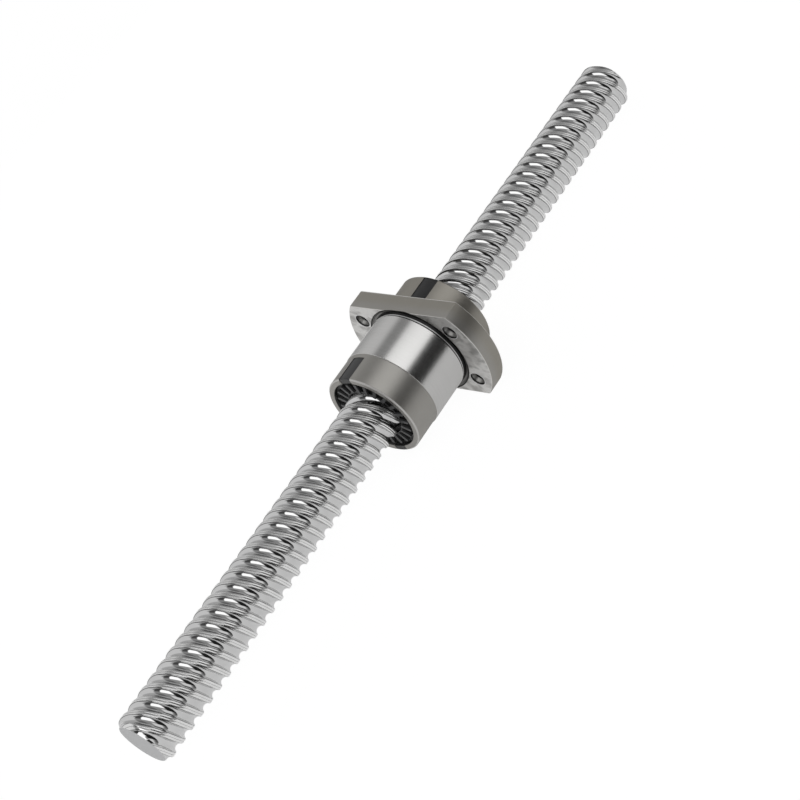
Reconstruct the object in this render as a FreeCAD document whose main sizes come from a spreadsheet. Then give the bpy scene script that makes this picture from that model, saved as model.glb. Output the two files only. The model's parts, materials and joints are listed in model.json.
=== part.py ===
"""Ball screw assembly: a four-start rolled screw, 32 mm across with a 32 mm lead, and its flanged nut.

Frame, in millimetres: the screw's axis is X, the nut's flange seats on the plane X = 0 with its long
body towards -X, and the flange's two flats face +Z and -Z. Angles around the axis are measured from +Z
and grow by the right-hand rule about +X. The nut holds two ball circuits, a and b, half a turn apart.
The rear half of the nut's inside is its front half turned half a turn about the line through
nut_middle that runs along Z.
"""
import FreeCAD, Part
import math
import os
import Sketcher

Vector, Rotation, Placement = FreeCAD.Vector, FreeCAD.Rotation, FreeCAD.Placement

SIZES = {
    # the thread that screw and nut share
    "lead": 32.0,
    "start_count": 4,
    "ball_circle": 16.5,
    "ball_radius": 2.381,
    "groove_radius": 2.6,
    # the screw
    "crest_radius": 16.0,
    "shaft_near": 264.0,
    "shaft_far": 224.0,
    "shaft_chamfer": 2.6,
    # the outside of the nut
    "body_radius": 29.0,
    "relief_radius": 28.65,
    "body_length": 49.0,
    "relief_length": 18.5,
    "collar_length": 17.0,
    "rim_chamfer": 0.8,
    "step_chamfer": 0.4,
    "undercut_length": 2.0,
    "undercut_depth": 0.5,
    "seat_recess_radius": 31.7,
    "seat_recess_depth": 1.1,
    "seat_recess_slope": 1.4,
    "flange_radius": 46.0,
    "flange_thickness": 12.0,
    "flange_chamfer": 0.4,
    "flat_height": 30.0,
    "bolt_circle": 37.0,
    "bolt_hole_radius": 4.5,
    "bolt_angle": 30.0,
    "lube_hole_radius": 2.5,
    "lube_hole_depth": 8.0,
    "lube_hole_offset": 4.5,
    # the inside of the nut
    "nut_middle": -11.25,
    "nut_land": 17.0,
    "pocket_radius": 25.0,
    "pocket_floor": 26.15,
    "slot_floor": 21.45,
    "slot_width": 9.1,
    "slot_angle": 10.5,
    "channel_circle": 24.0,
    "channel_radius": 2.75,
    "lift_radius": 18.65,
    # the plastic pieces in each end of the nut
    "part_gap": 0.1,
    "deflector_inner": 16.45,
    "deflector_face": 33.65,
    "deflector_top": 28.3,
    "deflector_middle": 30.0,
    "wiper_pocket_radius": 20.4,
    "wiper_pocket_depth": 1.0,
    "wiper_radius": 19.1,
    "wiper_gap": 0.25,
    "spring_radius": 19.6,
    "spring_wire": 0.35,
    "cover_inner": 16.6,
    "cover_hub": 17.6,
    "cover_base": 1.3,
    "cover_recess": 0.8,
    "rib_count": 22,
    "rib_width": 1.9,
    "rib_height": 1.9,
    "rib_reach": 23.5,
    "rib_phase": -1.6,
}

BEZIER_PULL = 0.75  # how far a ball channel's curve leans towards its corner
BALL_SPACING = 1.012  # of a ball's diameter, from centre to centre
ALONG_X = Rotation(Vector(1, 0, 1), 180)  # turns a piece made along Z to lie along X, with its X up

doc = FreeCAD.newDocument("ball_screw")
dims = doc.addObject("Spreadsheet::Sheet", "dims")
for row, (alias, value) in enumerate(SIZES.items(), start=1):
    dims.set(f"A{row}", alias)
    dims.set(f"B{row}", str(value))
    dims.setAlias(f"B{row}", alias)
doc.recompute()


def size(alias):
    return float(dims.get(alias))


TURN_PER_MM = 360 / size("lead")
HALF_TURN = Placement(Vector(), Rotation(Vector(1, 0, 0), 180))
REAR = Placement(Vector(2 * size("nut_middle"), 0, 0), Rotation(Vector(0, 0, 1), 180))
END_PLACES = {"front": Placement(), "rear": REAR}
CIRCUIT_PLACES = {"a": Placement(), "b": HALF_TURN}


# ---------------------------------------------------------------- helpers


def origin_plane(body, role):
    """One of a body's own three origin planes, such as YZ_Plane."""
    return next(f for f in body.Origin.OriginFeatures if f.Role == role)


def new_sketch(body, name, role):
    sketch = body.newObject("Sketcher::SketchObject", name)
    sketch.AttachmentSupport = [(origin_plane(body, role), "")]
    sketch.MapMode = "FlatFace"
    return sketch


def pin_point(sketch, geometry, end, name, across, up):
    """Bind one point of a sketch to expressions, measured from the sketch's origin; None leaves it free."""
    for kind, label, expression in (("DistanceX", "x", across), ("DistanceY", "y", up)):
        if expression is None:
            continue
        value = float(sketch.evalExpression(expression))
        number = sketch.addConstraint(Sketcher.Constraint(kind, -1, 1, geometry, end, value))
        sketch.renameConstraint(number, f"{name}_{label}")
        sketch.setExpression(f"Constraints.{name}_{label}", expression)


def outline(body, name, role, corners):
    """A closed straight-sided sketch. Each corner is a pair of expressions on the dims sheet."""
    sketch = new_sketch(body, name, role)
    spots = [Vector(*(float(sketch.evalExpression(e)) for e in corner)) for corner in corners]
    for here, there in zip(spots, spots[1:] + spots[:1]):
        sketch.addGeometry(Part.LineSegment(here, there), False)
    count = len(corners)
    for side in range(count):
        sketch.addConstraint(Sketcher.Constraint("Coincident", side, 2, (side + 1) % count, 1))
    for side, corner in enumerate(corners):
        pin_point(sketch, side, 1, f"corner{side}", *corner)
    return sketch


def circles(body, name, role, centres, radius):
    """A sketch of equal circles, each centre a pair of expressions."""
    sketch = new_sketch(body, name, role)
    for number, centre in enumerate(centres):
        spot = Vector(*(float(sketch.evalExpression(e)) for e in centre))
        value = float(sketch.evalExpression(radius))
        sketch.addGeometry(Part.Circle(spot, Vector(0, 0, 1), value), False)
        pin_point(sketch, number, 3, f"centre{number}", *centre)
        sketch.addConstraint(Sketcher.Constraint("Radius", number, value))
        sketch.renameConstraint(sketch.ConstraintCount - 1, f"radius{number}")
        sketch.setExpression(f"Constraints.radius{number}", radius)
    return sketch


def set_back(sketch, distance, angle="0"):
    """Move a sketch along its normal and turn it about that normal, both by expressions."""
    sketch.AttachmentOffset = Placement(Vector(0, 0, 1), Rotation(Vector(0, 0, 1), 1))
    sketch.setExpression("AttachmentOffset.Base.z", distance)
    sketch.setExpression("AttachmentOffset.Rotation.Angle", angle)
    return sketch


def revolve(body, name, sketch):
    """Turn an outline drawn in the XY plane about the X axis."""
    feature = body.newObject("PartDesign::Revolution", name)
    feature.Profile = sketch
    feature.ReferenceAxis = (sketch, ["H_Axis"])
    feature.Angle = 360
    return feature


def pocket(body, name, sketch, length, towards_normal=False, both_ways=False):
    feature = body.newObject("PartDesign::Pocket", name)
    feature.Profile = sketch
    feature.Reversed = towards_normal
    feature.Midplane = both_ways
    feature.setExpression("Length", length)
    return feature


def pad(body, name, sketch, length):
    feature = body.newObject("PartDesign::Pad", name)
    feature.Profile = sketch
    feature.setExpression("Length", length)
    return feature


def cut(name, base, tools):
    """The base with every tool cut away."""
    tool = tools[0]
    if len(tools) > 1:
        tool = doc.addObject("Part::MultiFuse", name + "_tools")
        tool.Shapes = tools
    feature = doc.addObject("Part::Cut", name)
    feature.Base, feature.Tool = base, tool
    return feature


def fixed_shape(name, shape, placement=None):
    """An object whose shape is worked out here from the sheet's sizes."""
    feature = doc.addObject("Part::Feature", name)
    feature.Shape = shape
    if placement is not None:
        feature.Placement = placement
    return feature


def around(radius, angle, along=0.0):
    """A point at an angle in degrees from +Z about +X."""
    turn = math.radians(angle)
    return Vector(along, -radius * math.sin(turn), radius * math.cos(turn))


# ---------------------------------------------------------------- thread


def groove_point(groove, roll, outwards):
    """Where the ball groove cuts a plane square to the screw's axis, as a radius and an angle in radians.

    The groove is the path of a ball of the groove's radius. roll goes around that ball, square to
    the path, from the groove's bottom.
    """
    circle = size("ball_circle")
    slope = math.atan(size("lead") / (2 * math.pi * circle))
    radial = circle + (groove if outwards else -groove) * math.cos(roll)
    sideways = -groove * math.sin(roll) * math.sin(slope)
    along = groove * math.sin(roll) * math.cos(slope)
    angle = math.atan2(sideways, radial) - along * math.radians(TURN_PER_MM)
    return math.hypot(radial, sideways), angle


def groove_edge(groove, land, outwards):
    """The roll at which the groove meets the land, found by halving."""
    low, high = 0.0, math.pi
    for _ in range(50):
        middle = (low + high) / 2
        if (groove_point(groove, middle, outwards)[0] > land) == outwards:
            low = middle
        else:
            high = middle
    return low


def thread_section(groove, land, starts, outwards, turned):
    """The closed outline of the thread square to its axis, in the XY plane, first groove at `turned`."""
    steps = 5
    edge = groove_edge(groove, land, outwards)
    sides = []
    for start in range(starts):
        middle = math.radians(turned) + 2 * math.pi * start / starts
        points = []
        for step in range(2 * steps + 1):
            radius, angle = groove_point(groove, edge * (1 - step / steps), outwards)
            if step in (0, 2 * steps):
                radius = land
            points.append(Vector(radius * math.cos(middle + angle), radius * math.sin(middle + angle), 0))
        for flank in (points[: steps + 1], points[steps:]):
            curve = Part.BSplineCurve()
            curve.interpolate(flank)
            sides.append(curve.toShape())
        gap_middle = middle + math.pi / starts
        following = middle + 2 * math.pi / starts + groove_point(groove, edge, outwards)[1]
        land_middle = Vector(land * math.cos(gap_middle), land * math.sin(gap_middle), 0)
        land_end = Vector(land * math.cos(following), land * math.sin(following), 0)
        sides.append(Part.Arc(points[-1], land_middle, land_end).toShape())
    return Part.Wire(sides)


def thread_core(name, groove, land, starts, outwards, begin, length):
    """A solid whose outside is the thread, swept along X from `begin`."""
    turned = TURN_PER_MM * (begin - size("nut_middle"))
    section = fixed_shape(name + "_section", thread_section(groove, land, starts, outwards, turned))
    helix = doc.addObject("Part::Helix", name + "_helix")
    helix.setExpression("Pitch", "dims.lead")
    helix.setExpression("Radius", "dims.ball_circle")
    helix.Height = length
    doc.recompute()
    core = doc.addObject("Part::Sweep", name)
    core.Sections = [section]
    core.Spine = (helix, [f"Edge{n + 1}" for n in range(len(helix.Shape.Edges))])
    core.Frenet = True
    core.Solid = True
    core.Placement = Placement(Vector(begin, 0, 0), ALONG_X)
    return core


# ---------------------------------------------------------------- screw


def make_screw_shaft():
    """The rolled screw, with both ends chamfered to below the grooves' bottoms."""
    overrun = 4
    thread = thread_core(
        "screw_thread",
        size("groove_radius"),
        size("crest_radius"),
        int(size("start_count")),
        False,
        -size("shaft_near") - overrun,
        size("shaft_near") + size("shaft_far") + 2 * overrun,
    )
    envelope = doc.addObject("PartDesign::Body", "screw_envelope")
    end, shoulder = "dims.crest_radius - dims.shaft_chamfer", "dims.crest_radius + 1"
    sketch = outline(
        envelope,
        "screw_envelope_outline",
        "XY_Plane",
        [
            ("-dims.shaft_near", "0"),
            ("-dims.shaft_near", end),
            ("-dims.shaft_near + dims.shaft_chamfer + 1", shoulder),
            ("dims.shaft_far - dims.shaft_chamfer - 1", shoulder),
            ("dims.shaft_far", end),
            ("dims.shaft_far", "0"),
        ],
    )
    revolve(envelope, "screw_envelope_turned", sketch)
    shaft = doc.addObject("Part::Common", "screw_shaft")
    shaft.Base, shaft.Tool = thread, envelope
    return shaft


# ---------------------------------------------------------------- nut body


def nut_outline(body):
    """Half the nut's section: its outside from front to rear, then back along its bore and end pockets."""
    front, rear = "-dims.body_length", "dims.flange_thickness + dims.collar_length"
    step, back = "-dims.body_length + dims.relief_length", "dims.flange_thickness"
    rough_bore = "dims.nut_land - 2"
    floor_front = "dims.nut_middle - dims.pocket_floor"
    floor_rear = "dims.nut_middle + dims.pocket_floor"
    rim = "dims.rim_chamfer"
    bevel = "dims.flange_chamfer"
    return outline(
        body,
        "nut_outline",
        "XY_Plane",
        [
            (front, f"dims.pocket_radius + {rim} / 2"),
            (front, f"dims.relief_radius - {rim}"),
            (f"{front} + {rim}", "dims.relief_radius"),
            (step, "dims.relief_radius"),
            (step, "dims.body_radius - dims.step_chamfer"),
            (f"{step} + dims.step_chamfer", "dims.body_radius"),
            ("-dims.undercut_length", "dims.body_radius"),
            ("-dims.undercut_length", "dims.body_radius - dims.undercut_depth"),
            ("dims.seat_recess_depth", "dims.body_radius - dims.undercut_depth"),
            ("dims.seat_recess_depth", "dims.seat_recess_radius - dims.seat_recess_slope"),
            ("0", "dims.seat_recess_radius"),
            ("0", f"dims.flange_radius - {bevel}"),
            (bevel, "dims.flange_radius"),
            (f"{back} - {bevel}", "dims.flange_radius"),
            (back, f"dims.flange_radius - {bevel}"),
            (back, "dims.relief_radius"),
            (f"{rear} - {rim}", "dims.relief_radius"),
            (rear, f"dims.relief_radius - {rim}"),
            (rear, f"dims.pocket_radius + {rim} / 2"),
            (f"{rear} - {rim} / 2", "dims.pocket_radius"),
            (floor_rear, "dims.pocket_radius"),
            (floor_rear, rough_bore),
            (floor_front, rough_bore),
            (floor_front, "dims.pocket_radius"),
            (f"{front} + {rim} / 2", "dims.pocket_radius"),
        ],
    )


def cut_flats(body):
    """Mill the flange's two flats, above and below the rest of the nut."""
    edge, beyond = "dims.flange_radius + 5", "dims.flange_radius + 5"
    for name, side in (("upper", ""), ("lower", "-")):
        low, high = f"{side}(dims.flat_height)", f"{side}({beyond})"
        sketch = outline(
            body,
            f"{name}_flat_outline",
            "YZ_Plane",
            [(f"-({edge})", low), (edge, low), (edge, high), (f"-({edge})", high)],
        )
        pocket(body, f"{name}_flat", sketch, "4 * dims.flange_thickness", both_ways=True)


def cut_bolt_holes(body):
    across = "dims.bolt_circle * cos(dims.bolt_angle)"
    up = "dims.bolt_circle * sin(dims.bolt_angle)"
    corners = [(f"{y}({across})", f"{z}({up})") for y in ("", "-") for z in ("", "-")]
    sketch = circles(body, "bolt_hole_circles", "YZ_Plane", corners, "dims.bolt_hole_radius")
    pocket(body, "bolt_holes", sketch, "4 * dims.flange_thickness", both_ways=True)


def cut_deflector_slots(body):
    """A slot through both walls of each end, cut inwards from the end face."""
    reach, half = "dims.body_radius + 0.05", "dims.slot_width / 2"
    ends = {
        "front": ("dims.nut_middle - dims.slot_floor", "-dims.slot_angle", False),
        "rear": ("dims.nut_middle + dims.slot_floor", "dims.slot_angle", True),
    }
    for name, (floor, angle, towards_rear) in ends.items():
        sketch = outline(
            body,
            f"{name}_slot_outline",
            "YZ_Plane",
            [(f"-{half}", f"-({reach})"), (half, f"-({reach})"), (half, reach), (f"-{half}", reach)],
        )
        set_back(sketch, floor, angle)
        pocket(body, f"{name}_slots", sketch, "dims.body_length", towards_normal=towards_rear)


def cut_lube_hole(body):
    """The grease port: a tapped hole in the lower flat with a fine drilling on into the bore."""
    middle = ("dims.flange_thickness / 2", "-dims.lube_hole_offset")
    for name, radius, depth in (
        ("lube_port", "dims.lube_hole_radius", "dims.lube_hole_depth"),
        ("lube_drilling", "dims.lube_hole_radius / 2.5", "dims.flat_height - dims.nut_land + 2"),
    ):
        sketch = circles(body, name + "_circle", "XY_Plane", [middle], radius)
        set_back(sketch, "-dims.flat_height")
        pocket(body, name, sketch, depth, towards_normal=True)


def channel_mouth(front=True):
    """Where circuit a's return channel opens into a deflector slot."""
    sign = -1 if front else 1
    along = size("nut_middle") + sign * size("slot_floor")
    return around(size("channel_circle"), sign * size("slot_angle"), along)


def make_return_hole(circuit):
    """The straight hole that brings a circuit's balls back through the nut's wall."""
    hole = doc.addObject("Part::Cylinder", f"return_hole_{circuit}")
    start, stop = channel_mouth(True), channel_mouth(False)
    way = (stop - start).normalize()
    hole.setExpression("Radius", "dims.channel_radius")
    hole.Height = (stop - start).Length + 2
    hole.Placement = CIRCUIT_PLACES[circuit] * Placement(start - way, Rotation(Vector(0, 0, 1), way))
    return hole


def make_nut_body():
    blank = doc.addObject("PartDesign::Body", "nut_blank")
    revolve(blank, "nut_turned", nut_outline(blank))
    cut_flats(blank)
    cut_bolt_holes(blank)
    cut_deflector_slots(blank)
    cut_lube_hole(blank)
    overrun = 3
    thread = thread_core(
        "nut_thread",
        size("groove_radius"),
        size("nut_land"),
        2,
        True,
        -size("body_length") - overrun,
        size("body_length") + size("flange_thickness") + size("collar_length") + 2 * overrun,
    )
    holes = [make_return_hole(circuit) for circuit in CIRCUIT_PLACES]
    return cut("nut_body", blank, [thread] + holes)


# ---------------------------------------------------------------- ball circuits


def exit_turn():
    """The angle, in degrees, through which a ball runs straight off the ball circle to its channel."""
    return math.degrees(math.acos(size("ball_circle") / size("channel_circle")))


def helix_point(along):
    """A point on circuit a's ball path in the thread."""
    return around(size("ball_circle"), TURN_PER_MM * (along - size("nut_middle")), along)


def slot_crossing():
    """Where circuit a's helix would pass the front slot's middle, four groove pitches off the middle."""
    pitches = 4
    pitch = size("lead") / size("start_count")
    return size("nut_middle") - size("slot_angle") / TURN_PER_MM - pitches * pitch


def exit_along():
    return slot_crossing() + exit_turn() / TURN_PER_MM


def turn_curve():
    """The front deflector's curve for circuit a, from the thread to the return channel's mouth."""
    leave, mouth = helix_point(exit_along()), channel_mouth(True)
    corner = around(size("channel_circle"), -size("slot_angle"), slot_crossing())
    back = (channel_mouth(False) - mouth).normalize()
    corner_behind = mouth - back * (mouth.x - slot_crossing()) / back.x
    curve = Part.BezierCurve()
    first = leave + (corner - leave) * BEZIER_PULL
    second = mouth + (corner_behind - mouth) * BEZIER_PULL
    curve.setPoles([leave, first, second, mouth])
    return curve


def make_turn_channel():
    """The solid that hollows a deflector: the balls' way in from the thread, round and out."""
    lead_in = 6.0
    count = 13
    start = exit_along()
    points = [helix_point(start + lead_in * (1 - n / (count - 1))) for n in range(count)]
    way_in = Part.BSplineCurve()
    way_in.interpolate(points)
    curve = turn_curve()
    mouth = channel_mouth(True)
    way_out = Part.LineSegment(mouth, mouth + (channel_mouth(False) - mouth).normalize() * 2)
    spine = Part.Wire([way_in.toShape(), curve.toShape(), way_out.toShape()])
    tangent = points[1] - points[0]
    ring = Part.Wire([Part.Circle(points[0], tangent, size("channel_radius")).toShape()])
    return spine.makePipeShell([ring], True, False)


def ball_loop():
    """Circuit a's whole path as closely spaced points, each with whether it lies in the thread."""
    middle, start = size("nut_middle"), exit_along()
    helix_steps, curve_steps, line_steps = 4000, 600, 1200
    points = []
    for step in range(helix_steps):
        along = start + (2 * middle - 2 * start) * step / helix_steps
        points.append((helix_point(along), True))
    curve = turn_curve()
    turn = [curve.value(step / curve_steps) for step in range(curve_steps)]
    points += [(REAR.multVec(p), False) for p in turn]
    stop, begin = channel_mouth(True), channel_mouth(False)
    points += [(begin + (stop - begin) * (step / line_steps), False) for step in range(line_steps)]
    points += [(p, False) for p in reversed(turn)]
    return points


def ball_centres():
    """Ball centres along the loop, each at least one spacing from the ball before, split by place.

    A returning ball is left out where it would be between the thread and the lift radius, which is
    as far out as it has to be to clear the crests.
    """
    spacing = 2 * size("ball_radius") * BALL_SPACING
    loop = ball_loop()
    centres = {"loaded": [], "return": []}
    first = last = loop[0][0]
    centres["loaded"].append(first)
    for point, in_thread in loop[1:]:
        lifted = math.hypot(point.y, point.z) >= size("lift_radius")
        clear = in_thread or (lifted and (point - first).Length >= spacing)
        if (point - last).Length >= spacing and clear:
            centres["loaded" if in_thread else "return"].append(point)
            last = point
    return centres


def make_balls(kind, circuit, centres):
    balls = [Part.makeSphere(size("ball_radius"), centre) for centre in centres]
    return fixed_shape(f"{kind}_balls_{circuit}", Part.makeCompound(balls), CIRCUIT_PLACES[circuit])


# ---------------------------------------------------------------- deflectors


def tube(inner, outer, begin, end):
    """A plain ring along X."""
    start, length = Vector(begin, 0, 0), end - begin
    along = Vector(1, 0, 0)
    return Part.makeCylinder(outer, length, start, along).cut(Part.makeCylinder(inner, length, start, along))


def deflector_shape(end_face):
    """Circuit a's front deflector: a half ring on the pocket's floor, and a tongue that fills the slot.

    end_face is how far the tongue reaches from nut_middle.
    """
    gap, middle = size("part_gap"), size("nut_middle")
    face = middle - size("deflector_face")
    ring = tube(size("deflector_inner"), size("pocket_radius") - gap, face, middle - size("pocket_floor") - gap)
    reach = 2 * size("pocket_radius")
    keep = Part.makeBox(reach, 2 * reach, reach, Vector(-reach, -reach, gap / 2))
    keep.rotate(Vector(), Vector(1, 0, 0), size("deflector_middle"))
    ring = ring.common(keep.translate(Vector(face + reach / 2, 0, 0)))
    ring = ring.cut(
        tube(1, size("wiper_pocket_radius"), face - 1, face + size("wiper_pocket_depth"))
    )
    half = size("slot_width") / 2 - gap
    back = middle - size("slot_floor") - gap
    tongue = Part.makeBox(back - face, 2 * half, reach, Vector(face, -half, size("nut_land") + 2 * gap))
    nose_bottom = size("pocket_radius") + gap
    nose = Part.makeBox(end_face - size("deflector_face"), 2 * half, reach, Vector(middle - end_face, -half, nose_bottom))
    tongue = tongue.fuse(nose)
    tongue = tongue.cut(tube(1, size("wiper_pocket_radius"), face - 1, face + size("wiper_pocket_depth")))
    tongue.rotate(Vector(), Vector(1, 0, 0), -size("slot_angle"))
    top = Part.makeCylinder(size("deflector_top"), 4 * reach, Vector(-2 * reach, 0, 0), Vector(1, 0, 0))
    return ring.fuse(tongue.common(top)).removeSplitter().cut(make_turn_channel())


def make_deflectors():
    made = []
    reach = {
        "front": size("nut_middle") + size("body_length"),
        "rear": size("flange_thickness") + size("collar_length") - size("nut_middle"),
    }
    for end, end_place in END_PLACES.items():
        shape = deflector_shape(reach[end] - size("cover_recess") / 2)
        for circuit, circuit_place in CIRCUIT_PLACES.items():
            made.append(fixed_shape(f"{end}_deflector_{circuit}", shape, circuit_place * end_place))
    return made


# ---------------------------------------------------------------- wipers, springs and end covers


def make_wiper(end):
    """A thin plastic ring whose inside follows the screw's thread with a small gap."""
    face = size("nut_middle") - size("deflector_face")
    thickness = size("wiper_pocket_depth") - size("part_gap")
    overrun = 1
    blank = doc.addObject("Part::Cylinder", f"{end}_wiper_blank")
    blank.setExpression("Radius", "dims.wiper_radius")
    blank.setExpression("Height", "dims.wiper_pocket_depth - dims.part_gap")
    blank.Placement = Placement(Vector(face, 0, 0), ALONG_X)
    core = thread_core(
        f"{end}_wiper_thread",
        size("groove_radius") - size("wiper_gap"),
        size("crest_radius") + size("wiper_gap"),
        int(size("start_count")),
        False,
        face - overrun,
        thickness + 2 * overrun,
    )
    wiper = cut(f"{end}_wiper", blank, [core])
    wiper.Placement = END_PLACES[end]
    return wiper


def make_spring(end):
    """The round wire ring that closes the wiper on the screw."""
    spring = doc.addObject("Part::Torus", f"{end}_wiper_spring")
    spring.setExpression("Radius1", "dims.spring_radius")
    spring.setExpression("Radius2", "dims.spring_wire")
    along = size("nut_middle") - size("deflector_face") + size("wiper_pocket_depth") / 2
    spring.Placement = END_PLACES[end] * Placement(Vector(along, 0, 0), ALONG_X)
    return spring


def make_cover(end):
    """The ribbed plastic ring that closes the end of the nut."""
    body = doc.addObject("PartDesign::Body", f"{end}_end_cover")
    back = "(dims.nut_middle - dims.deflector_face - dims.part_gap)"
    recess = "dims.cover_recess + dims.rib_height"
    if end == "front":
        face = f"(-dims.body_length + {recess})"
    else:
        face = f"(2 * dims.nut_middle - dims.flange_thickness - dims.collar_length + {recess})"
    sketch = outline(
        body,
        f"{end}_cover_outline",
        "XY_Plane",
        [
            (back, "dims.cover_inner"),
            (back, "dims.pocket_radius - dims.part_gap / 2"),
            (face, "dims.pocket_radius - dims.part_gap / 2"),
            (face, "dims.cover_hub"),
            (f"{face} - dims.rib_height / 2", "dims.cover_hub"),
            (f"{face} - dims.rib_height / 2", "dims.cover_inner"),
        ],
    )
    revolve(body, f"{end}_cover_turned", sketch)
    rib = make_rib(body, end, face)
    pattern = body.newObject("PartDesign::PolarPattern", f"{end}_ribs")
    pattern.Originals = [rib]
    pattern.Axis = (rib.Profile[0], ["N_Axis"])
    pattern.Angle = 360
    pattern.setExpression("Occurrences", "dims.rib_count")
    body.Tip = pattern
    body.Placement = END_PLACES[end]
    return body


def make_rib(body, end, face):
    """One radial rib with a round outer end, standing on the cover's ring."""
    half = size("rib_width") / 2
    root, tip = size("cover_hub") - 0.5, size("rib_reach") - half
    sketch = new_sketch(body, f"{end}_rib_outline", "YZ_Plane")
    corners = [Vector(-half, tip), Vector(-half, root), Vector(half, root), Vector(half, tip)]
    for here, there in zip(corners, corners[1:]):
        sketch.addGeometry(Part.LineSegment(here, there), False)
    sketch.addGeometry(Part.Arc(corners[3], Vector(0, tip + half), corners[0]), False)
    for side, (after, point) in enumerate(((1, 1), (2, 1))):
        sketch.addConstraint(Sketcher.Constraint("Coincident", side, 2, after, point))
    sketch.addConstraint(Sketcher.Constraint("Coincident", 2, 2, 3, 1))
    sketch.addConstraint(Sketcher.Constraint("Coincident", 3, 2, 0, 1))
    pin_point(sketch, 0, 1, "tip_left", "-dims.rib_width / 2", "dims.rib_reach - dims.rib_width / 2")
    pin_point(sketch, 1, 1, "root_left", "-dims.rib_width / 2", "dims.cover_hub - 0.5")
    pin_point(sketch, 2, 1, "root_right", "dims.rib_width / 2", "dims.cover_hub - 0.5")
    pin_point(sketch, 3, 1, "tip_right", "dims.rib_width / 2", "dims.rib_reach - dims.rib_width / 2")
    pin_point(sketch, 3, 3, "tip_middle", None, "dims.rib_reach - dims.rib_width / 2")
    set_back(sketch, f"{face} - dims.rib_height", "dims.rib_phase")
    return pad(body, f"{end}_rib", sketch, "dims.rib_height + dims.cover_base / 2")


# ---------------------------------------------------------------- the whole assembly


def make_assembly():
    parts = [make_screw_shaft(), make_nut_body()]
    parts += make_deflectors()
    for end in END_PLACES:
        parts += [make_cover(end), make_wiper(end), make_spring(end)]
    centres = ball_centres()
    for circuit in CIRCUIT_PLACES:
        parts += [make_balls(kind, circuit, centres[kind]) for kind in centres]
    for part in parts:
        part.Label = part.Name
    doc.recompute()
    return parts


def check(parts):
    """Stop if any object failed to recompute or any piece has no valid shape."""
    for item in doc.Objects:
        if {"Invalid", "Error"} & set(item.State):
            raise RuntimeError(f"{item.Name} did not recompute: {item.State}")
    for part in parts:
        if part.Shape.isNull() or not part.Shape.isValid() or part.Shape.Volume <= 0:
            raise RuntimeError(f"{part.Label} has no valid shape")


def main():
    parts = make_assembly()
    check(parts)
    os.makedirs("parts", exist_ok=True)
    for part in parts:
        part.Shape.exportStep(f"parts/{part.Label}.step")
        print(f"{part.Label}: {len(part.Shape.Solids)} solids, {part.Shape.Volume:.1f} mm3")


main()
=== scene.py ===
"""Looks for the ball screw: materials, a shaft with its rolled crests, studio and camera."""

import json
import math

import bmesh
import bpy
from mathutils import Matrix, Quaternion, Vector


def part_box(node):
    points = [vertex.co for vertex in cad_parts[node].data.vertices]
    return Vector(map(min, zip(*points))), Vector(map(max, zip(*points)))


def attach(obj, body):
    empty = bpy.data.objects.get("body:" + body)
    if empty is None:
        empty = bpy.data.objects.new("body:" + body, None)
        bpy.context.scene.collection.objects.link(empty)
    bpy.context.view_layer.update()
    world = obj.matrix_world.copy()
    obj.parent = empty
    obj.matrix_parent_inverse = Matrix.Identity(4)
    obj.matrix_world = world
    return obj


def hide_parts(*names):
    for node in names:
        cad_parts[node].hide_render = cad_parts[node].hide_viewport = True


MM = 0.001

# Where the photographer stood, the line of sight, its roll in degrees, and the lens and the sensor's
# width in millimetres.
CAMERA_PLACE = Vector((-0.43207, -0.61469, 0.55882))
CAMERA_FORWARD = Vector((0.43372, 0.66158, -0.61171))
CAMERA_ROLL = 33.25
CAMERA_LENS, CAMERA_SENSOR = 76.10, 36

# The studio, as brightness by direction. A direction is an angle around the screw's axis, in degrees
# from straight up and positive towards the camera's side, and a tilt along the axis towards +X.
# Each panel is (angle from, to, softness, tilt from, to, softness, brightness) and hides those before.
STUDIO_BASE = 0.27
STUDIO_PANELS = (
    (-110, -30, 12, -95, 5, 30, 0.68),  # backdrop
    (-110, -30, 12, 5, 40, 20, 0.43),  # backdrop beyond the far end
    (-30, 2, 6, 8, 50, 10, 0.14),  # gap between backdrop and softbox, far half
    (-30, -3, 6, -50, -30, 10, 0.07),  # the same gap, near half
    (-46, -5, 10, -95, -50, 12, 0.05),  # the same gap, nearest to the camera
    (-3, 48, 5, -19, 10, 8, 0.33),  # softbox's spill
    (-3, 51, 5, -72, -19, 8, 1.38),  # softbox
    (48, 60, 5, -85, -38, 10, 0.55),  # softbox's lower edge
    (30, 72, 10, 4, 52, 12, 0.76),  # fill card
    (54, 95, 5, -60, 7, 8, 0.015),  # black card
    (80, 95, 5, 7, 42, 8, 0.10),  # black card, far half
)

# The floor: half its side in metres, its own grey and light, and the light that the camera sees in
# it, with the share of that in the whole.
FLOOR_HALF = 0.58
FLOOR_GREY, FLOOR_LIGHT = 0.75, 0.32
FLOOR_GLOW, FLOOR_GLOW_SHARE = 1.05, 0.88

# The thread, in millimetres, as the CAD model has it.
LEAD, STARTS = 32.0, 4
PITCH = LEAD / STARTS
TURN_PER_MM = 360 / LEAD
BALL_CIRCLE, GROOVE_RADIUS, CREST_RADIUS = 16.5, 2.6, 16.0
GROOVE_MIDDLE = -11.25
SHAFT_NEAR, SHAFT_FAR, SHAFT_CHAMFER = -264.0, 224.0, 2.6

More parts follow.
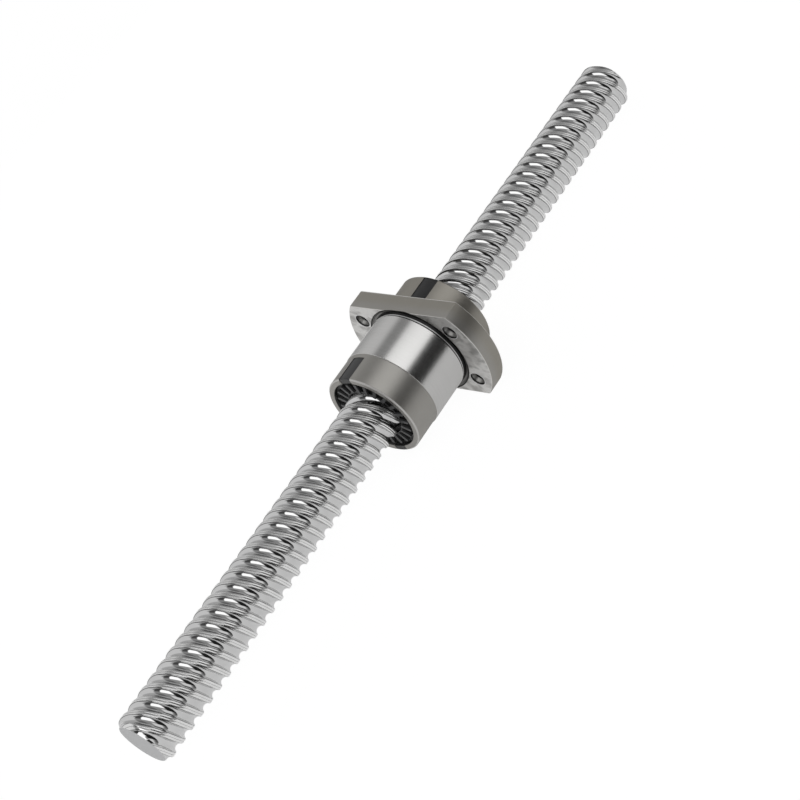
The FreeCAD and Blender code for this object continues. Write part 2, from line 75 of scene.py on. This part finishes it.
# The nut, in millimetres: its middle and length, where the ground pilot begins and the undercut ends
# it, radii of its turned steps, the flange, and the flange's bolt holes.
NUT_CENTRE, NUT_LENGTH = -10.0, 78.0
PILOT_START, PILOT_END = -30.45, -1.9
FRONT_CHAMFER_END, FRONT_CHAMFER_RADIUS = -48.2, 27.8
RELIEF_RADIUS, POCKET_RADIUS, UNDERCUT_RADIUS = 28.8, 25.1, 29.2
RECESS_RADIUS, RECESS_DEPTH = 31.7, 1.2
FLANGE_THICKNESS, FLANGE_RADIUS, FLAT_HEIGHT = 12.0, 46.0, 30.0
HOLE_ACROSS, HOLE_UP, HOLE_RADIUS = 32.04, 18.5, 4.5

# Places along the axis on the nut, in millimetres, where its colour changes: the start and the end of
# the step to the warmer collar, and the bands of painted highlight in the undercut and in the bolt holes.
WARM_START, WARM_END = 2.0, 8.0
UNDERCUT_PAINTED_HIGHLIGHT = (-1.1, -0.5)
BORE_PAINTED_HIGHLIGHT = (1.2, 3.6)

# The rolled crest: two rounded lobes with a seam between them, a little lower than the crest at their
# edges, and a rounded edge towards the groove. Then how finely it is drawn, and from which angle in
# degrees between two faces they meet in a crease.
LOBE_DROP = 0.16
EDGE_ROUND = 0.22
GROOVE_STEPS, LOBE_STEPS = 10, 4
STEPS_PER_TURN = 56
SHARP_ANGLE = 32
HALVINGS = 40

# The crest's looks, in pitches from its seam: the edge of its satin, and two thin lines of painted shade.
SATIN_EDGE, EDGE_SHADE_PLACE, SEAM_SHADE_PLACE = (0.17, 0.15), (0.155, 0.185), (0.02, 0.008)
# Fine marks on the crest: how many across a pitch, along a radian, and how they change along X.
MARKS_ACROSS, MARKS_ALONG, MARKS_DRIFT = 48.0, 2.0, 0.05


# ---------------------------------------------------------------- node helpers


def put(tree, socket, value):
    """Give a socket a number, a colour, or another node's output."""
    if isinstance(value, bpy.types.NodeSocket):
        tree.links.new(value, socket)
    else:
        socket.default_value = value


def add(tree, kind, inputs=None, **properties):
    """A new node, with its properties and its input sockets set."""
    node = tree.nodes.new(kind)
    for name, value in properties.items():
        setattr(node, name, value)
    for name, value in (inputs or {}).items():
        put(tree, node.inputs[name], value)
    return node


def calc(tree, operation, first, second=None, third=None):
    inputs = {n: v for n, v in enumerate((first, second, third)) if v is not None}
    return add(tree, "ShaderNodeMath", inputs, operation=operation).outputs[0]


def step(tree, value, start, stop):
    """0 before start, 1 after stop, and smooth between them."""
    inputs = {"Value": value, "From Min": start, "From Max": stop}
    return add(tree, "ShaderNodeMapRange", inputs, interpolation_type="SMOOTHSTEP").outputs[0]


def window(tree, value, low, high, soft):
    """1 between low and high, 0 outside, with soft edges."""
    opened = step(tree, value, low - soft / 2, low + soft / 2)
    closed = step(tree, value, high + soft / 2, high - soft / 2)
    return calc(tree, "MULTIPLY", opened, closed)


def blend(tree, share, first, second):
    """A number that goes from first to second with share."""
    return add(tree, "ShaderNodeMix", {0: share, 2: first, 3: second}, data_type="FLOAT").outputs[0]


def tint(tree, share, first, second):
    """A colour that goes from first to second with share."""
    return add(tree, "ShaderNodeMix", {0: share, 6: first, 7: second}, data_type="RGBA").outputs[2]


def grey(level, warmth=0.0):
    """A colour of that level, with its blue lowered by warmth and its red raised by half of it."""
    return (level * (1 + warmth / 2), level, level * (1 - warmth), 1)


def noise(tree, vector, scale, detail=2.0):
    inputs = {"Vector": vector, "Scale": scale, "Detail": detail}
    return add(tree, "ShaderNodeTexNoise", inputs).outputs[0]


def combine(tree, x, y, z):
    return add(tree, "ShaderNodeCombineXYZ", {0: x, 1: y, 2: z}).outputs[0]


def join_vectors(tree, operation, first, second=None):
    """One vector from one or two others."""
    inputs = {n: v for n, v in enumerate((first, second)) if v is not None}
    return add(tree, "ShaderNodeVectorMath", inputs, operation=operation).outputs["Vector"]


def vector_length(tree, vector):
    return add(tree, "ShaderNodeVectorMath", {0: vector}, operation="LENGTH").outputs["Value"]


def distance(tree, value, middle):
    """How far a number is from another, never below 0."""
    return calc(tree, "ABSOLUTE", calc(tree, "SUBTRACT", value, middle))


# ---------------------------------------------------------------- studio


def make_world():
    world = bpy.data.worlds.new("studio")
    bpy.context.scene.world = world
    world.use_nodes = True
    tree = world.node_tree
    tree.nodes.clear()
    coords = add(tree, "ShaderNodeTexCoord")
    split = add(tree, "ShaderNodeSeparateXYZ", {0: coords.outputs["Generated"]})
    near = calc(tree, "MULTIPLY", split.outputs["Y"], -1.0)
    angle = calc(tree, "DEGREES", calc(tree, "ARCTAN2", near, split.outputs["Z"]))
    tilt = calc(tree, "DEGREES", calc(tree, "ARCSINE", split.outputs["X"]))
    level = STUDIO_BASE
    for low, high, soft, tilt_low, tilt_high, tilt_soft, brightness in STUDIO_PANELS:
        inside = window(tree, angle, low, high, soft)
        share = calc(tree, "MULTIPLY", inside, window(tree, tilt, tilt_low, tilt_high, tilt_soft))
        level = blend(tree, share, level, brightness)
    studio = add(tree, "ShaderNodeBackground", {"Color": level})
    white = add(tree, "ShaderNodeBackground", {"Color": grey(1.0)})
    path = add(tree, "ShaderNodeLightPath")
    seen = path.outputs["Is Camera Ray"]
    mix = add(tree, "ShaderNodeMixShader", {0: seen, 1: studio.outputs[0], 2: white.outputs[0]})
    add(tree, "ShaderNodeOutputWorld", {"Surface": mix.outputs[0]})


def make_floor(level):
    """A wide pale sheet under the nut. The camera sees it almost white, with faint shadows."""
    half = FLOOR_HALF
    mesh = bpy.data.meshes.new("floor")
    corners = [(x * half, y * half, level) for x, y in ((-1, -1), (1, -1), (1, 1), (-1, 1))]
    mesh.from_pydata(corners, [], [(0, 1, 2, 3)])
    floor = bpy.data.objects.new("floor", mesh)
    bpy.context.scene.collection.objects.link(floor)
    material = bpy.data.materials.new("floor")
    material.use_nodes = True
    tree = material.node_tree
    tree.nodes.clear()
    sheet = add(tree, "ShaderNodeBsdfDiffuse", {"Color": grey(FLOOR_GREY)})
    light = add(tree, "ShaderNodeEmission", {"Color": grey(1.0), "Strength": FLOOR_LIGHT})
    paper = add(tree, "ShaderNodeAddShader", {0: sheet.outputs[0], 1: light.outputs[0]})
    glow = add(tree, "ShaderNodeEmission", {"Color": grey(1.0), "Strength": FLOOR_GLOW})
    seen = add(tree, "ShaderNodeLightPath").outputs["Is Camera Ray"]
    share = calc(tree, "MULTIPLY", seen, FLOOR_GLOW_SHARE)
    mix = add(tree, "ShaderNodeMixShader", {0: share, 1: paper.outputs[0], 2: glow.outputs[0]})
    add(tree, "ShaderNodeOutputMaterial", {"Surface": mix.outputs[0]})
    mesh.materials.append(material)


def make_camera():
    data = bpy.data.cameras.new("camera")
    data.lens = CAMERA_LENS
    data.sensor_width = CAMERA_SENSOR
    data.clip_start, data.clip_end = 0.01, 50
    camera = bpy.data.objects.new("camera", data)
    bpy.context.scene.collection.objects.link(camera)
    camera.location = CAMERA_PLACE
    camera.rotation_mode = "QUATERNION"
    roll = Quaternion(CAMERA_FORWARD, math.radians(CAMERA_ROLL))
    camera.rotation_quaternion = roll @ CAMERA_FORWARD.to_track_quat("-Z", "Y")
    bpy.context.scene.camera = camera


# ---------------------------------------------------------------- materials


class Surface:
    """A material under construction, with the point being shaded in millimetres."""

    def __init__(self, name):
        self.material = bpy.data.materials.new(name)
        self.material.use_nodes = True
        self.tree = tree = self.material.node_tree
        self.bsdf = tree.nodes["Principled BSDF"]
        coords = add(tree, "ShaderNodeTexCoord")
        in_mm = {0: coords.outputs["Object"], "Scale": 1 / MM}
        self.point = add(tree, "ShaderNodeVectorMath", in_mm, operation="SCALE").outputs[0]
        split = add(tree, "ShaderNodeSeparateXYZ", {0: self.point})
        self.x, self.y, self.z = split.outputs
        self.radius = vector_length(tree, combine(tree, 0.0, self.y, self.z))
        self.angle = calc(tree, "ARCTAN2", calc(tree, "MULTIPLY", self.y, -1.0), self.z)

    def set(self, name, value):
        put(self.tree, self.bsdf.inputs[name], value)

    def noise(self, scale, detail=2.0):
        """Noise with `scale` spots to a millimetre."""
        return noise(self.tree, self.point, scale, detail)

    def turned_lines(self, scale):
        """Fine rings around the axis, as a lathe or grinder leaves, `scale` to a millimetre."""
        return noise(self.tree, combine(self.tree, self.x, self.radius, 0.0), scale, 3.0)

    def sweeps(self, around, outwards):
        """Noise drawn out along the radius, `around` spots to a radian and `outwards` to a millimetre."""
        tree = self.tree
        turn = combine(tree, calc(tree, "COSINE", self.angle), calc(tree, "SINE", self.angle), 0.0)
        turn = join_vectors(tree, "MULTIPLY", turn, (around,) * 3)
        reach = combine(tree, 0.0, 0.0, calc(tree, "MULTIPLY", self.radius, outwards))
        return noise(tree, join_vectors(tree, "ADD", turn, reach), 1.0, 3.0)

    def bump(self, height, depth, lean=0.0, edges=0.0):
        """Raise the surface by up to depth millimetres times height, and lean its marks towards -X.

        Edges are shaded as if rounded to that radius in millimetres.
        """
        tree = self.tree
        inputs = {"Height": height, "Distance": depth * MM, "Strength": 1.0}
        if edges:
            rounded = add(tree, "ShaderNodeBevel", {"Radius": edges * MM}, samples=4)
            inputs["Normal"] = rounded.outputs[0]
        normal = add(tree, "ShaderNodeBump", inputs).outputs[0]
        if lean:
            leant = join_vectors(tree, "ADD", normal, (-lean, 0, 0))
            normal = join_vectors(tree, "NORMALIZE", leant)
        self.set("Normal", normal)

    def finish_along_axis(self, amount):
        """Spread reflections square to the finish's rings."""
        tangent = add(self.tree, "ShaderNodeTangent", direction_type="RADIAL", axis="X")
        self.set("Tangent", tangent.outputs[0])
        self.set("Anisotropic", amount)


def thread_place(skin):
    """How far across the thread a point lies, from 0 at one groove's middle to 1 at the next one's."""
    tree = skin.tree
    turned = calc(tree, "MULTIPLY", skin.angle, LEAD / math.tau / PITCH)
    place = calc(tree, "DIVIDE", calc(tree, "SUBTRACT", skin.x, GROOVE_MIDDLE), PITCH)
    return calc(tree, "FRACT", calc(tree, "SUBTRACT", place, turned))


def make_screw_steel():
    """Rolled and polished: bright grooves, duller crests with marks along the thread, sawn ends."""
    skin = Surface("screw_steel_look")
    tree = skin.tree
    across = thread_place(skin)
    from_seam = distance(tree, across, 0.5)
    crest = step(tree, from_seam, *SATIN_EDGE)
    # Painted shade: thin dark lines where the crest's edges meet the grooves and along its seam, where
    # the creases fall into shade.
    painted_edge_shade = window(tree, from_seam, *EDGE_SHADE_PLACE, 0.012)
    painted_seam_shade = step(tree, from_seam, *SEAM_SHADE_PLACE)
    painted_crease_shade = calc(tree, "MAXIMUM", painted_edge_shade, calc(tree, "MULTIPLY", painted_seam_shade, 0.8))
    marks_across = calc(tree, "MULTIPLY", across, MARKS_ACROSS)
    marks_along = calc(tree, "MULTIPLY", skin.angle, MARKS_ALONG)
    drift = calc(tree, "MULTIPLY", skin.x, MARKS_DRIFT)
    marks = noise(tree, combine(tree, marks_across, marks_along, drift), 1.0, 3.0)
    smudges = skin.noise(0.08, 4.0)
    middle, end = (SHAFT_NEAR + SHAFT_FAR) / 2, (SHAFT_FAR - SHAFT_NEAR) / 2
    sawn = step(tree, distance(tree, skin.x, middle), end - 0.1, end - 0.02)
    satin_share = calc(tree, "MULTIPLY", crest, calc(tree, "SUBTRACT", 1.0, sawn))

    polished = tint(tree, smudges, grey(0.70), grey(0.78))
    satin = tint(tree, window(tree, marks, 0.35, 0.65, 0.3), grey(0.8, 0.02), grey(1.0))
    colour = tint(tree, crest, polished, satin)
    # Paint that shade into the colour as dark grey.
    colour = tint(tree, calc(tree, "MULTIPLY", painted_crease_shade, 0.75), colour, grey(0.12))
    skin.set("Metallic", blend(tree, satin_share, 1.0, 0.85))
    skin.set("Base Color", tint(tree, sawn, colour, grey(0.58, -0.01)))
    rough = blend(tree, sawn, blend(tree, crest, 0.02, 0.15), 0.32)
    skin.set("Roughness", calc(tree, "MULTIPLY_ADD", smudges, 0.05, rough))
    skin.bump(marks, 0.004)
    return skin.material


def nut_zones(skin):
    """Where on the nut a point lies, each as a number from 0 to 1."""
    tree = skin.tree

    def both(first, second):
        return calc(tree, "MULTIPLY", first, second)

    def within(radius, soft=0.1):
        return step(tree, skin.radius, radius + soft, radius)

    def beyond(radius, soft=0.1):
        return step(tree, skin.radius, radius, radius + soft)

    def along(low, high, soft=0.1):
        return window(tree, skin.x, low, high, soft)

    height = calc(tree, "ABSOLUTE", skin.z)
    hole_y = calc(tree, "SUBTRACT", calc(tree, "ABSOLUTE", skin.y), HOLE_ACROSS)
    hole_z = calc(tree, "SUBTRACT", height, HOLE_UP)
    from_hole = vector_length(tree, combine(tree, 0.0, hole_y, hole_z))
    below_flats = step(tree, height, FLAT_HEIGHT - 0.05, FLAT_HEIGHT - 0.1)
    undercut = both(along(PILOT_END, RECESS_DEPTH, 0.06), within(UNDERCUT_RADIUS, 0.2))
    lip = both(along(0.04, 0.5, 0.06), within(RECESS_RADIUS, 0.2))
    recess = both(along(0.1, RECESS_DEPTH, 0.06), within(RECESS_RADIUS, 0.2))
    grooves = calc(tree, "MAXIMUM", undercut, lip)
    rims = calc(tree, "ADD", along(-0.1, 0.3), along(FLANGE_THICKNESS - 0.4, FLANGE_THICKNESS + 0.1))
    above = step(tree, height, FLAT_HEIGHT - 0.4, FLAT_HEIGHT - 0.3)
    outline = calc(tree, "MAXIMUM", beyond(FLANGE_RADIUS - 0.4), above)
    front = step(tree, skin.x, FRONT_CHAMFER_END, FRONT_CHAMFER_END - 0.1)
    return {
        "pilot": both(along(PILOT_START, PILOT_END), beyond(RELIEF_RADIUS)),
        "seat": both(along(-0.1, 0.1), beyond(RECESS_RADIUS - 0.2, 0.2)),
        "recess": both(recess, below_flats),
        "grooves": both(grooves, below_flats),
        "hole": step(tree, from_hole, HOLE_RADIUS + 0.08, HOLE_RADIUS + 0.02),
        "painted_hole_rim_highlight": window(tree, from_hole, HOLE_RADIUS + 0.05, HOLE_RADIUS + 0.5, 0.1),
        "inside": within(POCKET_RADIUS),
        "painted_front_edge_highlight": both(front, beyond(FRONT_CHAMFER_RADIUS)),
        "painted_flange_edge_highlight": both(rims, outline),
        "collar": step(tree, skin.x, WARM_START, WARM_END),
    }


def make_nut_steel():
    """Turned and blackened to a dull warm grey, with a ground pilot and a ground seat."""
    skin = Surface("nut_steel_look")
    tree = skin.tree
    zones = nut_zones(skin)
    lines = skin.turned_lines(2.2)
    smudges = skin.noise(0.06, 4.0)
    grain = skin.noise(1.6, 2.0)
    mottle = calc(tree, "MULTIPLY_ADD", smudges, 0.7, calc(tree, "MULTIPLY", grain, 0.3))
    painted_highlight_streaks = skin.sweeps(5.0, 0.08)
    dull = tint(tree, mottle, grey(0.32, 0.07), grey(0.44, 0.05))
    warm = tint(tree, mottle, grey(0.29, 0.12), grey(0.40, 0.09))
    pilot = tint(tree, lines, grey(0.56, 0.02), grey(0.68, 0.01))
    # Painted highlight: bright radial streaks across the seat, standing for its turned face's
    # reflections.
    seat = tint(tree, window(tree, painted_highlight_streaks, 0.4, 0.6, 0.2), grey(0.44, 0.03), grey(0.78, 0.02))
    # Painted shade in the undercut and the groove by the flange, almost black, with a band of painted
    # highlight across the undercut.
    grooves = tint(tree, window(tree, skin.x, *UNDERCUT_PAINTED_HIGHLIGHT, 0.2), grey(0.03), grey(0.6))
    # Painted shade in the bolt holes, almost black, with a band of painted highlight a little way in.
    painted_hole_shade_and_highlight = tint(tree, window(tree, skin.x, *BORE_PAINTED_HIGHLIGHT, 1.0), grey(0.03), grey(0.38, 0.03))
    colour = tint(tree, zones["collar"], dull, warm)
    for zone, look in (
        ("pilot", pilot),
        ("seat", seat),
        # Painted shade: the recess is darker.
        ("recess", grey(0.22, 0.03)),
        ("grooves", grooves),
        # Painted highlight: a bright ring round each bolt hole's edge.
        ("painted_hole_rim_highlight", grey(0.85)),
        ("hole", painted_hole_shade_and_highlight),
        # Painted shade: the nut's inside, almost black.
        ("inside", grey(0.05)),
        # Painted highlight on the nut's front chamfer and rim.
        ("painted_front_edge_highlight", grey(0.6, 0.03)),
        # Painted highlight along the flange's outer edges.
        ("painted_flange_edge_highlight", grey(0.8, 0.03)),
    ):
        colour = tint(tree, zones[zone], colour, look)
    skin.set("Metallic", 1.0)
    skin.set("Base Color", colour)
    rough = calc(tree, "MULTIPLY_ADD", mottle, 0.10, 0.31)
    rough = blend(tree, zones["pilot"], rough, calc(tree, "MULTIPLY_ADD", lines, 0.08, 0.16))
    skin.set("Roughness", rough)
    skin.finish_along_axis(0.4)
    skin.bump(lines, 0.004, lean=0.48, edges=0.35)
    return skin.material


def make_metal(name, level, roughness):
    """A plain small steel piece, with faint smudges."""
    skin = Surface(name)
    smudges = skin.noise(0.4, 3.0)
    skin.set("Metallic", 1.0)
    skin.set("Base Color", tint(skin.tree, smudges, grey(level * 0.92), grey(level)))
    skin.set("Roughness", calc(skin.tree, "MULTIPLY_ADD", smudges, 0.06, roughness))
    skin.bump(skin.noise(5.0), 0.002)
    return skin.material


def make_plastic(name, level, roughness, shade_start=0.0, shade_end=0.0):
    """Moulded engineering plastic, with a fine grain.

    It is painted almost black as shade from the first given depth to the second, in millimetres from the
    nut's nearer end.
    """
    skin = Surface(name)
    smudges = skin.noise(0.25, 3.0)
    colour = tint(skin.tree, smudges, grey(level * 0.85, -0.02), grey(level * 1.15, -0.02))
    if shade_end:
        place = distance(skin.tree, skin.x, NUT_CENTRE)
        painted_shade = step(skin.tree, place, NUT_LENGTH / 2 - shade_start, NUT_LENGTH / 2 - shade_end)
        # Paint that shade in, almost black.
        colour = tint(skin.tree, painted_shade, colour, grey(0.006))
    skin.set("Base Color", colour)
    skin.set("Roughness", calc(skin.tree, "MULTIPLY_ADD", smudges, 0.15, roughness))
    skin.set("IOR", 1.65)
    skin.bump(skin.noise(4.0, 3.0), 0.01)
    return skin.material


# ---------------------------------------------------------------- the shaft's thread


def groove_place(roll):
    """Where the ball groove cuts a plane through the axis: distance along from its middle, radius."""
    slope = math.atan(LEAD / (math.tau * BALL_CIRCLE))
    radial = BALL_CIRCLE - GROOVE_RADIUS * math.cos(roll)
    sideways = -GROOVE_RADIUS * math.sin(roll) * math.sin(slope)
    along = GROOVE_RADIUS * math.sin(roll) * math.cos(slope)
    return along - math.degrees(math.atan2(sideways, radial)) / TURN_PER_MM, math.hypot(radial, sideways)


def groove_edge(radius):
    """The roll at which the groove reaches that radius, found by halving."""
    low, high = 0.0, math.pi / 2
    for _ in range(HALVINGS):
        middle = (low + high) / 2
        if groove_place(middle)[1] < radius:
            low = middle
        else:
            high = middle
    return low


def half_pitch_profile():
    """Points (along, radius) from a groove's middle to the seam in the middle of the crest."""
    edge_radius = CREST_RADIUS - LOBE_DROP
    edge = groove_edge(edge_radius - EDGE_ROUND * 0.6)
    points = [groove_place(edge * n / GROOVE_STEPS) for n in range(GROOVE_STEPS + 1)]
    begin, seam = groove_place(groove_edge(edge_radius))[0] + EDGE_ROUND * 0.5, PITCH / 2
    half = (seam - begin) / 2
    round_off = (points[-1][0] + EDGE_ROUND * 0.12, edge_radius - EDGE_ROUND * 0.18)
    points.append(round_off)
    for n in range(LOBE_STEPS + 1):
        place = -1 + 2 * n / LOBE_STEPS
        points.append((begin + half * (1 + place), CREST_RADIUS - LOBE_DROP * place * place))
    return points


def pitch_profile():
    """One whole pitch from groove middle to groove middle, without its last point."""
    there = half_pitch_profile()
    back = [(PITCH - along, radius) for along, radius in reversed(there[1:-1])]
    return there + back


def trimmed_radius(along, radius):
    """The profile's radius, or the end chamfer's where that is smaller."""
    end = min(along - SHAFT_NEAR, SHAFT_FAR - along)
    return min(radius, CREST_RADIUS - SHAFT_CHAMFER + max(end, 0.0))


def make_shaft_mesh():
    """The four-start thread as one skin. Its rows run along the axis and wrap a lead further on."""
    profile = pitch_profile()
    count = len(profile)
    pitches_before = math.ceil((GROOVE_MIDDLE + LEAD - SHAFT_NEAR) / PITCH) + 1
    first = GROOVE_MIDDLE - pitches_before * PITCH
    pitches = math.ceil((SHAFT_FAR - first) / PITCH) + 1
    rows = count * pitches
    points = []
    for turn in range(STEPS_PER_TURN):
        angle = math.tau * turn / STEPS_PER_TURN
        shift = first + LEAD * turn / STEPS_PER_TURN
        for row in range(rows):
            along = shift + PITCH * (row // count) + profile[row % count][0]
            radius = trimmed_radius(along, profile[row % count][1])
            points.append((along * MM, -radius * math.sin(angle) * MM, radius * math.cos(angle) * MM))
    faces = []
    wrap = STARTS * count
    for turn in range(STEPS_PER_TURN):
        last = turn == STEPS_PER_TURN - 1
        here, there = turn * rows, 0 if last else (turn + 1) * rows
        for row in range(rows - 1):
            other = row + (wrap if last else 0)
            if other + 1 < rows:
                faces.append((here + row, there + other, there + other + 1, here + row + 1))
    mesh = bpy.data.meshes.new("rolled_shaft")
    mesh.from_pydata(points, [], faces)
    return mesh


def close_ends(mesh):
    """Cut the skin square at both ends and close it with flat faces."""
    shell = bmesh.new()
    shell.from_mesh(mesh)
    for along, side in ((SHAFT_NEAR, -1), (SHAFT_FAR, 1)):
        everything = shell.verts[:] + shell.edges[:] + shell.faces[:]
        cut = bmesh.ops.bisect_plane(
            shell,
            geom=everything,
            plane_co=(along * MM, 0, 0),
            plane_no=(side, 0, 0),
            clear_outer=True,
        )
        rim = [item for item in cut["geom_cut"] if isinstance(item, bmesh.types.BMEdge)]
        bmesh.ops.contextual_create(shell, geom=rim)
    bmesh.ops.recalc_face_normals(shell, faces=shell.faces[:])
    shell.to_mesh(mesh)
    shell.free()


def make_shaft(material):
    mesh = make_shaft_mesh()
    close_ends(mesh)
    mesh.polygons.foreach_set("use_smooth", [True] * len(mesh.polygons))
    mesh.set_sharp_from_angle(angle=math.radians(SHARP_ANGLE))
    mesh.materials.append(material)
    shaft = bpy.data.objects.new("rolled_shaft", mesh)
    bpy.context.scene.collection.objects.link(shaft)
    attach(shaft, "screw")
    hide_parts("screw_shaft")


# ---------------------------------------------------------------- the whole scene


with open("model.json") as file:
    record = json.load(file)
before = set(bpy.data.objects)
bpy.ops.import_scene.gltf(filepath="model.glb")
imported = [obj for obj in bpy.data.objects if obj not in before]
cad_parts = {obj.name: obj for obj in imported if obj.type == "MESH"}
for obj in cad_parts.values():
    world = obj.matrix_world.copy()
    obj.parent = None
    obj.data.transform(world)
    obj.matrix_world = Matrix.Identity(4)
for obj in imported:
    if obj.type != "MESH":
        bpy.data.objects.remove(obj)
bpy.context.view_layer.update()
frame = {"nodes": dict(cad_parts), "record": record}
bpy.context.scene.view_settings.view_transform = "Standard"
make_world()
make_floor(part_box("nut_body")[0].z)
make_camera()

looks = {
    "screw_steel": make_screw_steel(),
    "nut_steel": make_nut_steel(),
    "ball_steel": make_metal("ball_steel_look", level=0.8, roughness=0.06),
    "spring_steel": make_metal("spring_steel_look", level=0.55, roughness=0.3),
    "deflector_plastic": make_plastic("deflector_plastic_look", 0.035, 0.3, shade_start=1.6, shade_end=0.6),
    "cover_plastic": make_plastic("cover_plastic_look", 0.06, 0.35, shade_start=1.5, shade_end=2.5),
    "wiper_plastic": make_plastic("wiper_plastic_look", level=0.08, roughness=0.5),
}
make_shaft(looks["screw_steel"])
for subpart in frame["record"]["subparts"]:
    node = frame["nodes"][subpart["node"]]
    node.material_slots[0].material = looks[subpart["material_slot"]]
